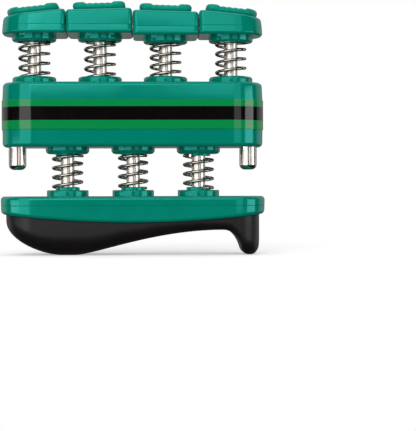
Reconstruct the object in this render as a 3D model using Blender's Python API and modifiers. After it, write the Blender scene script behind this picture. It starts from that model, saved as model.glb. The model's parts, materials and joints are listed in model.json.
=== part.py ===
"""Four-finger hand exerciser, modelled as its separate pieces.

A base plate with a soft palm grip carries three sprung steel rods. A case of two half shells slides on
them. Four finger buttons, each on a sprung rod of its own, slide into the top of the case.

Units are metres. +Z is up, the front faces -Y, and the origin is on the ground under the middle.
"""

import math

import bmesh
import bpy
from mathutils import Vector

# Layout along X: base rods stand midway between finger rods
FINGER_COUNT = 4
FINGER_PITCH = 0.0200

# Fineness of round shapes
CORNER_STEPS = 5
TURN_STEPS = 20
EDGE_STEPS = 2
CURVE_STEPS = 10

# Clearances between neighbouring pieces
RUNNING_GAP = 0.00015
PRESS_GAP = 0.00010
BOND_GAP = 0.00010
LABEL_GAP = 0.00005
RING_GAP = 0.00025
SEAT_GAP = 0.00010

# Steel rods
ROD_DIAMETER = 0.0041
ROD_CHAMFER = 0.0004
ROD_TAIL = 0.0012
GROOVE_DEPTH = 0.0005

# Retaining rings on the rod ends
RING_DIAMETER = 0.0072
RING_THICKNESS = 0.0006
RING_SLOT_ANGLE = 70.0

# Compression springs
SPRING_DIAMETER = 0.0098
SPRING_WIRE = 0.00088
SPRING_END_TURNS = 0.15
SPRING_POINTS_PER_TURN = 10
FINGER_SPRING_LENGTH = 0.0122
BASE_SPRING_LENGTH = 0.0110
FINGER_SPRING_TURNS = 3.75
BASE_SPRING_TURNS = 3.50
FINGER_SPRING_ANGLES = (112.0, 147.0, 39.0, 277.0)
BASE_SPRING_ANGLES = (66.0, 37.0, 295.0)

# Spring seats: a flange, a spigot that enters the spring, and on the upper ones a rim round the spring
CASE_FLANGE_DIAMETER = 0.0133
BASE_FLANGE_DIAMETER = 0.0127
BUTTON_FLANGE_DIAMETER = 0.0135
FLANGE_ROUND = 0.0008
BASE_FLANGE_ROUND = 0.0004
LOWER_FLANGE_ROUND = 0.0012
SPIGOT_HEIGHT = 0.0009
LOWER_SPIGOT_HEIGHT = 0.0006
SPIGOT_CLEARANCE = 0.00035
BASE_FLANGE_HEIGHT = 0.0019
LOWER_FLANGE_HEIGHT = 0.0020
UPPER_FLANGE_HEIGHT = 0.0011
BUTTON_FLANGE_HEIGHT = 0.0013
UPPER_RIM_HEIGHT = 0.0009
BUTTON_RIM_HEIGHT = 0.0006
RIM_CLEARANCE = 0.0003

# Base plate
BASE_END = 0.0102
BASE_DEPTH = 0.0226
BASE_CORNER = 0.0095
BASE_THICKNESS = 0.0079
BASE_UNDERSIDE_HEIGHT = 0.0099
BASE_UNDERSIDE_RISE = 0.0026
BASE_PARTING_DROP = 0.0028
BASE_TOP_DRAFT = 0.00005
BASE_LOW_DRAFT = 0.0001
BASE_EDGE_ROUND = 0.0011
BASE_WALL = 0.0022
BASE_POST_DIAMETER = 0.0074
BASE_SOCKET_DEPTH = 0.0048
BASE_SOCKET_FLOOR = 0.0010

# Palm grip: front-view landmarks of its underside, and the rounding of its lower edges
GRIP_INSET = 0.0014
GRIP_END_GAP = 0.0002
GRIP_HEEL_HEIGHT = 0.0097
GRIP_HEEL_REACH = 0.0039
GRIP_BULGE_X = -0.0195
GRIP_BULGE_FLAT = 0.0033
GRIP_BULGE_FRONT_REACH = 0.0080
GRIP_BULGE_REAR_REACH = 0.0062
GRIP_SADDLE_X = 0.0271
GRIP_SADDLE_HEIGHT = 0.0076
GRIP_SADDLE_FRONT_REACH = 0.0208
GRIP_SADDLE_REAR_REACH = 0.0047
GRIP_HORN_RADIUS = 0.0026
GRIP_HORN_FLAT = 0.0005
GRIP_HORN_START = 214.0
GRIP_HORN_REACH = 0.0012
GRIP_HORN_LEAN = 0.0002
GRIP_HEEL_ROUND = 0.0020
GRIP_BULGE_ROUND = 0.0056
GRIP_SADDLE_ROUND = 0.0024
GRIP_HORN_ROUND = 0.0022

# Case of two half shells
CASE_END = 0.0096
CASE_DEPTH = 0.0220
CASE_CORNER = 0.0095
CASE_WALL = 0.0020
UPPER_CASE_DRAFT = 0.0002
LOWER_CASE_DRAFT = 0.00005
CASE_EDGE_ROUND = 0.0012
LOWER_CASE_HEIGHT = 0.0098
UPPER_CASE_HEIGHT = 0.0097
CASE_LIP = 0.0010
GUIDE_DIAMETER = 0.0072
GUIDE_LENGTH = 0.0011

# Printed band round the joint of the half shells
LABEL_HEIGHT = 0.0089
LABEL_RISE = -0.0001
LABEL_THICKNESS = 0.00015

# Stop pins under the ends of the case
PIN_DIAMETER = 0.0053
PIN_END_INSET = 0.00435
PIN_REACH = 0.0068
PIN_SEAT = 0.0056
PIN_ROUND = 0.0013
PIN_SOCKET_WALL = 0.0012
PIN_SOCKET_HEIGHT = 0.0038

# Finger buttons
BUTTON_GAP = 0.00015
BUTTON_END = 0.0096
BUTTON_DEPTH = 0.0206
BUTTON_CORNER = 0.0016
BUTTON_END_CORNER = 0.0090
BUTTON_PARTING = 0.0026
BUTTON_PARTING_DRAFT = 0.00005
BUTTON_TOP_DRAFT = 0.0003
BUTTON_SIDE_DRAFT = 0.00005
BUTTON_EDGE_ROUND = 0.0010
BUTTON_INNER_HEIGHT = 0.0073
BUTTON_OUTER_HEIGHT = 0.0063
BUTTON_INNER_SLOPE = 1.6
BUTTON_OUTER_SLOPE = 6.0
BUTTON_SOCKET_DEPTH = 0.0036
BUTTON_SINK = (0.0, 0.0, 0.0006, 0.0003)

# Ribbed pads let into the tops of the buttons
PAD_DEPTH = 0.0164
PAD_WIDTH = 0.0158
PAD_CORNER = 0.0022
PAD_END_CORNER = 0.0066
PAD_RECESS = 0.0005
PAD_RISE = 0.0018
PAD_LIP_RISE = 0.0005
PAD_LIP_RAMP = 0.0011
PAD_SHOULDER = 0.0011
PAD_RIB_COUNT = 4
PAD_RIB_PITCH = 0.0018
PAD_RIB_HEIGHT = 0.00015
PAD_RIB_STEPS = 6

# Heights that the sizes above lead to
BASE_TOP = BASE_UNDERSIDE_HEIGHT + BASE_THICKNESS
BASE_SEAT = BASE_TOP + BASE_FLANGE_HEIGHT
LOWER_SEAT = BASE_SEAT + BASE_SPRING_LENGTH
CASE_BOTTOM = LOWER_SEAT + LOWER_FLANGE_HEIGHT
CASE_SEAM = CASE_BOTTOM + LOWER_CASE_HEIGHT
CASE_TOP = CASE_SEAM + UPPER_CASE_HEIGHT
UPPER_SEAT = CASE_TOP + UPPER_FLANGE_HEIGHT
BUTTON_SEAT = UPPER_SEAT + FINGER_SPRING_LENGTH
BUTTON_BOTTOM = BUTTON_SEAT + BUTTON_FLANGE_HEIGHT
SPIGOT_DIAMETER = SPRING_DIAMETER - 2 * SPRING_WIRE - 2 * SPIGOT_CLEARANCE
RIM_BORE = SPRING_DIAMETER + 2 * RIM_CLEARANCE

# Lengths and places along X that the sizes above lead to
ROD_SPAN = (FINGER_COUNT - 1) * FINGER_PITCH
BASE_HALF = ROD_SPAN / 2 + BASE_END
CASE_HALF = ROD_SPAN / 2 + CASE_END
FINGER_X = [index * FINGER_PITCH - ROD_SPAN / 2 for index in range(FINGER_COUNT)]
BASE_X = [left + FINGER_PITCH / 2 for left in FINGER_X[:-1]]
PIN_X = CASE_HALF - PIN_END_INSET

# Plan boxes: low and high X, half depth, and corner radii at the low and the high end
BASE_BOX = (-BASE_HALF, BASE_HALF, BASE_DEPTH / 2, BASE_CORNER, BASE_CORNER)
CASE_BOX = (-CASE_HALF, CASE_HALF, CASE_DEPTH / 2, CASE_CORNER, CASE_CORNER)
MIN_CORNER = 0.0003
OVERSHOOT = 0.0010

# Flanges: diameter, rounding of the free edge, and heights of the rim and the spigot
BASE_FLANGE = (BASE_FLANGE_DIAMETER, BASE_FLANGE_ROUND, 0.0, SPIGOT_HEIGHT)
LOWER_FLANGE = (CASE_FLANGE_DIAMETER, LOWER_FLANGE_ROUND, 0.0, LOWER_SPIGOT_HEIGHT)
UPPER_FLANGE = (CASE_FLANGE_DIAMETER, FLANGE_ROUND, UPPER_RIM_HEIGHT, SPIGOT_HEIGHT)
BUTTON_FLANGE = (BUTTON_FLANGE_DIAMETER, FLANGE_ROUND, BUTTON_RIM_HEIGHT, SPIGOT_HEIGHT)
UP = 1
DOWN = -1


def clear_scene():
    for obj in list(bpy.data.objects):
        bpy.data.objects.remove(obj, do_unlink=True)


def new_collection(name):
    collection = bpy.data.collections.new(name)
    bpy.context.scene.collection.children.link(collection)
    return collection


def new_material(name, colour, roughness, metallic=0.0):
    material = bpy.data.materials.new(name)
    material.use_nodes = True
    shader = material.node_tree.nodes["Principled BSDF"]
    shader.inputs["Base Color"].default_value = (*colour, 1.0)
    shader.inputs["Roughness"].default_value = roughness
    shader.inputs["Metallic"].default_value = metallic
    material.diffuse_color = (*colour, 1.0)
    return material


def add_frame(name, location):
    """Add an empty that carries the pieces of one moving body."""
    frame = bpy.data.objects.new(name, None)
    frame.location = location
    frame.empty_display_size = 0.01
    PARTS.objects.link(frame)
    return frame


def add_part(obj, material, frame):
    """Show an object as a piece of the part, carried by a frame."""
    obj.data.materials.append(material)
    obj.parent = frame
    PARTS.objects.link(obj)
    return obj


def add_cutter(obj, frame):
    """Keep an object as a hidden operand of a Boolean, carried by a frame."""
    obj.parent = frame
    obj.hide_render = True
    obj.display_type = "WIRE"
    CUTTERS.objects.link(obj)
    return obj


def combine(obj, operation, other):
    modifier = obj.modifiers.new(other.name, "BOOLEAN")
    modifier.operation = operation
    modifier.solver = "EXACT"
    modifier.object = other


def round_edges(obj, width):
    """Round the edges that carry bevel weight."""
    bevel = obj.modifiers.new("Round", "BEVEL")
    bevel.limit_method = "WEIGHT"
    bevel.width = width
    bevel.segments = EDGE_STEPS


def repeat(obj, count):
    array = obj.modifiers.new("Repeat", "ARRAY")
    array.use_relative_offset = False
    array.use_constant_offset = True
    array.constant_offset_displace = (FINGER_PITCH, 0.0, 0.0)
    array.count = count


def spread(low, high, steps):
    """Return evenly spaced values from low to high, both included."""
    return [low + (high - low) * step / steps for step in range(steps + 1)]


def mesh_object(name, bm):
    bmesh.ops.recalc_face_normals(bm, faces=bm.faces)
    mesh = bpy.data.meshes.new(name)
    bm.to_mesh(mesh)
    bm.free()
    return bpy.data.objects.new(name, mesh)


def loft(name, rings, capped=True, rounded=()):
    """Skin a stack of rings of points. The rings listed in rounded carry bevel weight."""
    bm = bmesh.new()
    weight = bm.edges.layers.float.new("bevel_weight_edge")
    loops = [[bm.verts.new(point) for point in ring] for ring in rings]
    for low, high in zip(loops, loops[1:]):
        for here, after in zip(range(-1, len(low) - 1), range(len(low))):
            bm.faces.new((low[here], low[after], high[after], high[here]))
    if capped:
        bm.faces.new(list(reversed(loops[0])))
        bm.faces.new(loops[-1])
    for index in rounded:
        loop = loops[index]
        for here, after in zip(range(-1, len(loop) - 1), range(len(loop))):
            bm.edges.get((loop[here], loop[after]))[weight] = 1.0
    return mesh_object(name, bm)


def turned(name, profile, start=0.0):
    """Turn a profile of radius and height points, from top to bottom, about the object's Z axis."""
    mesh = bpy.data.meshes.new(name)
    points = [(radius * math.cos(start), radius * math.sin(start), height) for radius, height in profile]
    mesh.from_pydata(points, [(index, index + 1) for index in range(len(points) - 1)], [])
    obj = bpy.data.objects.new(name, mesh)
    screw = obj.modifiers.new("Turn", "SCREW")
    screw.steps = TURN_STEPS
    screw.render_steps = TURN_STEPS
    screw.use_merge_vertices = True
    screw.merge_threshold = 0.00001
    return obj


def cylinder(name, diameter, top, bottom, start=0.0):
    radius = diameter / 2
    return turned(name, [(0.0, top), (radius, top), (radius, bottom), (0.0, bottom)], start)


def bore(name, diameter, top, bottom):
    """A cylinder to cut with, half a step round so that its corners miss those of its boss."""
    return cylinder(name, diameter, top, bottom, math.pi / TURN_STEPS)


def plan_outline(box, inset):
    """Return the plan points of a rounded box, anticlockwise from above, pulled in by inset."""
    x_low, x_high, half_depth, radius_low, radius_high = box
    points = []
    for x_edge, side_x, side_y, radius, start in (
        (x_high, 1, -1, radius_high, 270),
        (x_high, 1, 1, radius_high, 0),
        (x_low, -1, 1, radius_low, 90),
        (x_low, -1, -1, radius_low, 180),
    ):
        reach = max(radius - inset, MIN_CORNER)
        centre_x = x_edge - side_x * (inset + reach)
        centre_y = side_y * (half_depth - inset - reach)
        for step in range(CORNER_STEPS + 1):
            angle = math.radians(start + 90 * step / CORNER_STEPS)
            points.append((centre_x + reach * math.cos(angle), centre_y + reach * math.sin(angle)))
    return points


def plan_ring(box, inset, height):
    return [(x, y, height) for x, y in plan_outline(box, inset)]


def plan_block(name, box, inset, low, high):
    return loft(name, [plan_ring(box, inset, low), plan_ring(box, inset, high)])


def boss(name, way, flange, seat, embed, post_diameter, post_end):
    """A spring seat that faces up or down: spigot, flange with any rim, and a post that runs to post_end."""
    diameter, corner, rim_height, spigot_height = flange
    radius = diameter / 2
    spigot = SPIGOT_DIAMETER / 2
    post = post_diameter / 2
    tip = seat + way * spigot_height
    rim = seat + way * rim_height
    profile = [(0.0, tip), (spigot, tip), (spigot, seat)]
    if rim_height:
        profile += [(RIM_BORE / 2, seat), (RIM_BORE / 2, rim)]
    for angle in spread(0.0, math.pi / 2, EDGE_STEPS):
        profile.append((radius - corner * (1 - math.sin(angle)), rim - way * corner * (1 - math.cos(angle))))
    profile += [(radius, embed), (post, embed), (post, post_end), (0.0, post_end)]
    return turned(name, profile[::way])


def rod(name, top, bottom, groove_middle):
    """A chamfered rod with a groove for its retaining ring."""
    radius = ROD_DIAMETER / 2
    floor = radius - GROOVE_DEPTH
    half = RING_THICKNESS / 2 + PRESS_GAP
    return turned(name, [
        (0.0, top),
        (radius - ROD_CHAMFER, top),
        (radius, top - ROD_CHAMFER),
        (radius, groove_middle + half),
        (floor, groove_middle + half),
        (floor, groove_middle - half),
        (radius, groove_middle - half),
        (radius, bottom + ROD_CHAMFER),
        (radius - ROD_CHAMFER, bottom),
        (0.0, bottom),
    ])


def retaining_ring(name, middle):
    """An open ring that snaps into a rod's groove."""
    outer = RING_DIAMETER / 2
    inner = ROD_DIAMETER / 2 - GROOVE_DEPTH + PRESS_GAP
    slot = RING_SLOT_ANGLE / 2
    angles = [math.radians(slot + (360 - 2 * slot) * step / TURN_STEPS) for step in range(TURN_STEPS + 1)]
    outline = [(outer * math.cos(angle), outer * math.sin(angle)) for angle in angles]
    outline += [(inner * math.cos(angle), inner * math.sin(angle)) for angle in reversed(angles)]
    low = middle - RING_THICKNESS / 2
    return loft(name, [[(x, y, low + rise) for x, y in outline] for rise in (0.0, RING_THICKNESS)])


def spring_points(length, active_turns, start):
    """Centre line of a spring between seats that are length apart, with straight wire ends."""
    radius = (SPRING_DIAMETER - SPRING_WIRE) / 2
    low = SPRING_WIRE / 2 + SEAT_GAP
    turns = active_turns + 2 * SPRING_END_TURNS
    count = round(turns * SPRING_POINTS_PER_TURN)
    points = []
    for step in range(count + 1):
        turn = turns * step / count
        share = min(max((turn - SPRING_END_TURNS) / active_turns, 0.0), 1.0)
        angle = math.radians(start) + math.tau * turn
        height = low + (length - 2 * low) * share
        points.append(Vector((radius * math.cos(angle), radius * math.sin(angle), height)))
    first = points[0]
    last = points[-1]
    lead_in = first + Vector((first.y, -first.x, 0.0)).normalized() * SPRING_WIRE
    lead_out = last + Vector((-last.y, last.x, 0.0)).normalized() * SPRING_WIRE
    return [lead_in, *points, lead_out]


def least_gap(points):
    """Least gap between coils, over points that are at least half a turn apart along the wire."""
    apart = SPRING_POINTS_PER_TURN // 2
    distances = [
        (points[far] - points[near]).length
        for near in range(len(points))
        for far in range(near + apart, len(points))
    ]
    return min(distances) - SPRING_WIRE


def spring(name, length, active_turns, start, seat):
    points = spring_points(length, active_turns, start)
    print(f"{name}: least gap to itself {least_gap(points) * 1000:.2f} mm")
    curve = bpy.data.curves.new(name, "CURVE")
    curve.dimensions = "3D"
    curve.bevel_depth = SPRING_WIRE / 2
    curve.bevel_resolution = 1
    curve.use_fill_caps = True
    line = curve.splines.new("POLY")
    line.points.add(len(points) - 1)
    for knot, point in zip(line.points, points):
        knot.co = (*point, 1.0)
    obj = bpy.data.objects.new(name, curve)
    obj.location.z = seat
    return obj


def bezier(start, leave, arrive, end):
    """Points of a cubic curve, without its end point."""
    points = []
    for step in range(CURVE_STEPS):
        t = step / CURVE_STEPS
        points.append(
            start * (1 - t) ** 3 + leave * 3 * t * (1 - t) ** 2 + arrive * 3 * t * t * (1 - t) + end * t ** 3
        )
    return points


def underside(x):
    """Height of the base plate's arched underside."""
    return BASE_UNDERSIDE_HEIGHT + BASE_UNDERSIDE_RISE * (x / BASE_HALF) ** 2


def build_base(frame, plastic):
    low = BASE_UNDERSIDE_HEIGHT - OVERSHOOT
    base = loft("base_plate", [
        plan_ring(BASE_BOX, BASE_LOW_DRAFT, low),
        plan_ring(BASE_BOX, 0.0, BASE_TOP - BASE_PARTING_DROP),
        plan_ring(BASE_BOX, BASE_TOP_DRAFT, BASE_TOP),
    ], rounded=(-1,))
    round_edges(base, BASE_EDGE_ROUND)

    arch = [(x, underside(x)) for x in spread(-BASE_HALF - OVERSHOOT, BASE_HALF + OVERSHOOT, 2 * CURVE_STEPS)]
    arch += [(BASE_HALF + OVERSHOOT, low - OVERSHOOT), (-BASE_HALF - OVERSHOOT, low - OVERSHOOT)]
    arch_cutter = loft("base_arch_cut", [
        [(x, y, z) for x, z in arch] for y in (-BASE_DEPTH, BASE_DEPTH)
    ])
    hollow = plan_block("base_hollow_cut", BASE_BOX, BASE_WALL, low - OVERSHOOT, BASE_TOP - BASE_WALL)
    socket_floor = BASE_TOP - BASE_SOCKET_DEPTH
    bosses = boss(
        "base_bosses", UP, BASE_FLANGE, BASE_SEAT, BASE_TOP - BASE_WALL / 2,
        BASE_POST_DIAMETER, socket_floor - BASE_SOCKET_FLOOR,
    )
    sockets = bore(
        "base_socket_cut", ROD_DIAMETER + 2 * PRESS_GAP, BASE_SEAT + SPIGOT_HEIGHT + OVERSHOOT, socket_floor,
    )
    for operand in (bosses, sockets):
        operand.location.x = BASE_X[0]
        repeat(operand, len(BASE_X))
    for operand, operation in (
        (arch_cutter, "DIFFERENCE"),
        (hollow, "DIFFERENCE"),
        (bosses, "UNION"),
        (sockets, "DIFFERENCE"),
    ):
        combine(base, operation, add_cutter(operand, frame))
    add_part(base, plastic, frame)


def grip_underside():
    """Front-view points of the grip's underside, left to right, each with its edge rounding."""
    left = -BASE_HALF + GRIP_INSET + GRIP_END_GAP
    right = -left
    horn_x = right - GRIP_HORN_LEAN - GRIP_HORN_RADIUS - GRIP_HORN_FLAT
    heel = Vector((left, GRIP_HEEL_HEIGHT))
    bulge_low = Vector((GRIP_BULGE_X - GRIP_BULGE_FLAT / 2, 0.0))
    bulge_high = Vector((GRIP_BULGE_X + GRIP_BULGE_FLAT / 2, 0.0))
    saddle = Vector((GRIP_SADDLE_X, GRIP_SADDLE_HEIGHT))
    turn = math.radians(GRIP_HORN_START)
    horn = Vector((horn_x + GRIP_HORN_RADIUS * math.cos(turn), GRIP_HORN_RADIUS * (1 + math.sin(turn))))
    horn_way = Vector((-math.sin(turn), math.cos(turn)))

    points = bezier(
        heel, heel - Vector((0.0, GRIP_HEEL_REACH)),
        bulge_low - Vector((GRIP_BULGE_FRONT_REACH, 0.0)), bulge_low,
    )
    points.append(bulge_low)
    rounding = spread(GRIP_HEEL_ROUND, GRIP_BULGE_ROUND, len(points) - 1)
    flank = bezier(
        bulge_high, bulge_high + Vector((GRIP_BULGE_REAR_REACH, 0.0)),
        saddle - Vector((GRIP_SADDLE_FRONT_REACH, 0.0)), saddle,
    )
    points += flank
    rounding += spread(GRIP_BULGE_ROUND, GRIP_SADDLE_ROUND, len(flank) - 1)
    throat = bezier(
        saddle, saddle + Vector((GRIP_SADDLE_REAR_REACH, 0.0)), horn - horn_way * GRIP_HORN_REACH, horn,
    )
    points += throat
    rounding += spread(GRIP_SADDLE_ROUND, GRIP_HORN_ROUND, len(throat) - 1)
    for centre_x, first, last in ((horn_x, GRIP_HORN_START, 270), (horn_x + GRIP_HORN_FLAT, 270, 360)):
        for angle in spread(math.radians(first), math.radians(last), EDGE_STEPS):
            points.append(Vector((
                centre_x + GRIP_HORN_RADIUS * math.cos(angle), GRIP_HORN_RADIUS * (1 + math.sin(angle)),
            )))
    points.append(Vector((right, underside(right) - BOND_GAP)))
    points.insert(0, Vector((left, underside(left) - BOND_GAP)))
    rounding.insert(0, GRIP_HEEL_ROUND)
    rounding += [GRIP_HORN_ROUND] * (len(points) - len(rounding))
    return points, rounding


def grip_ring(points, rounding, share, y):
    """One slice of the grip at depth y, its underside drawn in by a share of the edge rounding."""
    drawn = []
    for index, (point, reach) in enumerate(zip(points, rounding)):
        way = points[min(index + 1, len(points) - 1)] - points[max(index - 1, 0)]
        inward = Vector((-way.y, way.x)).normalized()
        drawn.append(point + inward * reach * share)
    top = spread(drawn[-1].x, drawn[0].x, 2 * CURVE_STEPS)
    drawn[0].y = underside(drawn[0].x) - BOND_GAP
    drawn[-1].y = underside(drawn[-1].x) - BOND_GAP
    ring = [(point.x, y, point.y) for point in drawn]
    ring += [(x, y, underside(x) - BOND_GAP) for x in top[1:-1]]
    return ring


def build_grip(frame, rubber):
    points, rounding = grip_underside()
    half = BASE_DEPTH / 2 - GRIP_INSET - GRIP_END_GAP
    slices = []
    for angle in spread(0.0, math.pi / 2, EDGE_STEPS + 1):
        slices.append((1 - math.cos(angle), half - GRIP_BULGE_ROUND * (1 - math.sin(angle))))
    rings = [grip_ring(points, rounding, share, -y) for share, y in reversed(slices)]
    rings += [grip_ring(points, rounding, share, y) for share, y in slices]
    grip = loft("palm_grip", rings)
    plan = plan_block("grip_plan_cut", BASE_BOX, GRIP_INSET, -OVERSHOOT, BASE_TOP)
    combine(grip, "INTERSECT", add_cutter(plan, frame))
    add_part(grip, rubber, frame)


def build_base_rods(frame, steel, spring_steel):
    ring_middle = CASE_BOTTOM + CASE_WALL + GUIDE_LENGTH + RING_GAP + RING_THICKNESS / 2
    top = ring_middle + RING_THICKNESS / 2 + ROD_TAIL
    bottom = BASE_TOP - BASE_SOCKET_DEPTH + PRESS_GAP
    for number, (x, angle) in enumerate(zip(BASE_X, BASE_SPRING_ANGLES), 1):
        coil = spring(f"base_spring_{number}", BASE_SPRING_LENGTH, BASE_SPRING_TURNS, angle, BASE_SEAT)
        pieces = (
            (rod(f"base_rod_{number}", top, bottom, ring_middle), steel),
            (retaining_ring(f"base_clip_{number}", ring_middle), spring_steel),
            (coil, spring_steel),
        )
        for piece, material in pieces:
            piece.location.x = x
            add_part(piece, material, frame)


def build_lower_case(frame, plastic):
    lower = loft("lower_case", [
        plan_ring(CASE_BOX, LOWER_CASE_DRAFT, CASE_BOTTOM),
        plan_ring(CASE_BOX, 0.0, CASE_SEAM + LABEL_RISE - LABEL_HEIGHT / 2),
        plan_ring(CASE_BOX, 0.0, CASE_SEAM - BOND_GAP),
    ], rounded=(0,))
    round_edges(lower, CASE_EDGE_ROUND)
    floor = CASE_BOTTOM + CASE_WALL
    hollow = plan_block("lower_hollow_cut", CASE_BOX, CASE_WALL, floor, CASE_SEAM + OVERSHOOT)
    rebate = plan_block(
        "lower_rebate_cut", CASE_BOX, CASE_WALL / 2, CASE_SEAM - CASE_LIP - BOND_GAP, CASE_SEAM + OVERSHOOT,
    )
    bosses = boss(
        "lower_bosses", DOWN, LOWER_FLANGE, LOWER_SEAT, CASE_BOTTOM + CASE_WALL / 2,
        GUIDE_DIAMETER, floor + GUIDE_LENGTH,
    )
    bores = bore(
        "lower_bore_cut", ROD_DIAMETER + 2 * RUNNING_GAP, floor + GUIDE_LENGTH + OVERSHOOT,
        LOWER_SEAT - LOWER_SPIGOT_HEIGHT - OVERSHOOT,
    )
    for operand in (bosses, bores):
        operand.location.x = BASE_X[0]
        repeat(operand, len(BASE_X))
    joined = [bosses]
    cuts = [bores]
    socket_top = floor + PIN_SOCKET_HEIGHT
    for side, x in (("left", -PIN_X), ("right", PIN_X)):
        wall = cylinder(
            f"pin_socket_{side}", PIN_DIAMETER + 2 * PIN_SOCKET_WALL, socket_top, CASE_BOTTOM + CASE_WALL / 2,
        )
        hole = bore(
            f"pin_bore_cut_{side}", PIN_DIAMETER + 2 * PRESS_GAP, socket_top + OVERSHOOT,
            CASE_BOTTOM - OVERSHOOT,
        )
        wall.location.x = x
        hole.location.x = x
        clip = plan_block(f"pin_socket_plan_{side}", CASE_BOX, CASE_WALL / 2, CASE_BOTTOM, CASE_SEAM)
        combine(wall, "INTERSECT", add_cutter(clip, frame))
        joined.append(wall)
        cuts.append(hole)
    for operand in (hollow, rebate):
        combine(lower, "DIFFERENCE", add_cutter(operand, frame))
    for operand in joined:
        combine(lower, "UNION", add_cutter(operand, frame))
    for operand in cuts:
        combine(lower, "DIFFERENCE", add_cutter(operand, frame))
    add_part(lower, plastic, frame)


def build_upper_case(frame, plastic):
    upper = loft("upper_case", [
        plan_ring(CASE_BOX, 0.0, CASE_SEAM),
        plan_ring(CASE_BOX, 0.0, CASE_SEAM + LABEL_RISE + LABEL_HEIGHT / 2),
        plan_ring(CASE_BOX, UPPER_CASE_DRAFT, CASE_TOP),
    ], rounded=(-1,))
    round_edges(upper, CASE_EDGE_ROUND)
    ceiling = CASE_TOP - CASE_WALL
    lip = plan_block(
        "upper_lip", CASE_BOX, CASE_WALL / 2 + BOND_GAP, CASE_SEAM - CASE_LIP, CASE_SEAM + CASE_WALL,
    )
    hollow = plan_block("upper_hollow_cut", CASE_BOX, CASE_WALL, CASE_SEAM - CASE_LIP - OVERSHOOT, ceiling)
    bosses = boss(
        "upper_bosses", UP, UPPER_FLANGE, UPPER_SEAT, CASE_TOP - CASE_WALL / 2,
        GUIDE_DIAMETER, ceiling - GUIDE_LENGTH,
    )
    bores = bore(
        "upper_bore_cut", ROD_DIAMETER + 2 * RUNNING_GAP, UPPER_SEAT + SPIGOT_HEIGHT + OVERSHOOT,
        ceiling - GUIDE_LENGTH - OVERSHOOT,
    )
    for operand in (bosses, bores):
        operand.location.x = FINGER_X[0]
        repeat(operand, FINGER_COUNT)
    for operand, operation in (
        (lip, "UNION"),
        (hollow, "DIFFERENCE"),
        (bosses, "UNION"),
        (bores, "DIFFERENCE"),
    ):
        combine(upper, operation, add_cutter(operand, frame))
    add_part(upper, plastic, frame)


def build_label(frame, film):
    middle = CASE_SEAM + LABEL_RISE
    label = loft("label_band", [
        plan_ring(CASE_BOX, -LABEL_GAP, middle - LABEL_HEIGHT / 2),
        plan_ring(CASE_BOX, -LABEL_GAP, middle + LABEL_HEIGHT / 2),
    ], capped=False)
    solidify = label.modifiers.new("Thickness", "SOLIDIFY")
    solidify.thickness = LABEL_THICKNESS
    solidify.offset = 1.0
    add_part(label, film, frame)


def build_stop_pins(frame, steel):
    radius = PIN_DIAMETER / 2
    top = CASE_BOTTOM + PIN_SEAT
    tip = CASE_BOTTOM - PIN_REACH
    profile = [(0.0, top), (radius - ROD_CHAMFER, top), (radius, top - ROD_CHAMFER)]
    for angle in spread(0.0, math.pi / 2, EDGE_STEPS):
        profile.append((
            radius - PIN_ROUND * (1 - math.cos(angle)), tip + PIN_ROUND * (1 - math.sin(angle)),
        ))
    profile.append((0.0, tip))
    for side, x in (("left", -PIN_X), ("right", PIN_X)):
        pin = turned(f"stop_pin_{side}", profile)
        pin.location.x = x
        add_part(pin, steel, frame)


def build_finger_springs(frame, spring_steel):
    for number, (x, angle, sink) in enumerate(zip(FINGER_X, FINGER_SPRING_ANGLES, BUTTON_SINK), 1):
        length = FINGER_SPRING_LENGTH - sink
        coil = spring(f"finger_spring_{number}", length, FINGER_SPRING_TURNS, angle, UPPER_SEAT)
        coil.location.x = x
        add_part(coil, spring_steel, frame)


def button_form(number):
    """Plan box, pad box, height at the rod and slope of one button, about its rod axis."""
    near = (FINGER_PITCH - BUTTON_GAP) / 2
    half = PAD_WIDTH / 2
    side = 1 if number <= FINGER_COUNT / 2 else -1
    if 1 < number < FINGER_COUNT:
        box = (-near, near, BUTTON_DEPTH / 2, BUTTON_CORNER, BUTTON_CORNER)
        pad = (-half, half, PAD_DEPTH / 2, PAD_CORNER, PAD_CORNER)
        return box, pad, BUTTON_INNER_HEIGHT, side * math.radians(BUTTON_INNER_SLOPE)
    box = (-BUTTON_END, near, BUTTON_DEPTH / 2, BUTTON_END_CORNER, BUTTON_CORNER)
    pad = (-half, half, PAD_DEPTH / 2, PAD_END_CORNER, PAD_CORNER)
    if side < 0:
        box = (-near, BUTTON_END, BUTTON_DEPTH / 2, BUTTON_CORNER, BUTTON_END_CORNER)
        pad = (-half, half, PAD_DEPTH / 2, PAD_CORNER, PAD_END_CORNER)
    return box, pad, BUTTON_OUTER_HEIGHT, side * math.radians(BUTTON_OUTER_SLOPE)


def top_box(box):
    """A button's plan box at its top, where the sides next to other buttons taper less."""
    x_low, x_high, half_depth, radius_low, radius_high = box
    ease = BUTTON_TOP_DRAFT - BUTTON_SIDE_DRAFT
    if radius_low == BUTTON_CORNER:
        x_low -= ease
    if radius_high == BUTTON_CORNER:
        x_high += ease
    return x_low, x_high, half_depth, radius_low, radius_high


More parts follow.
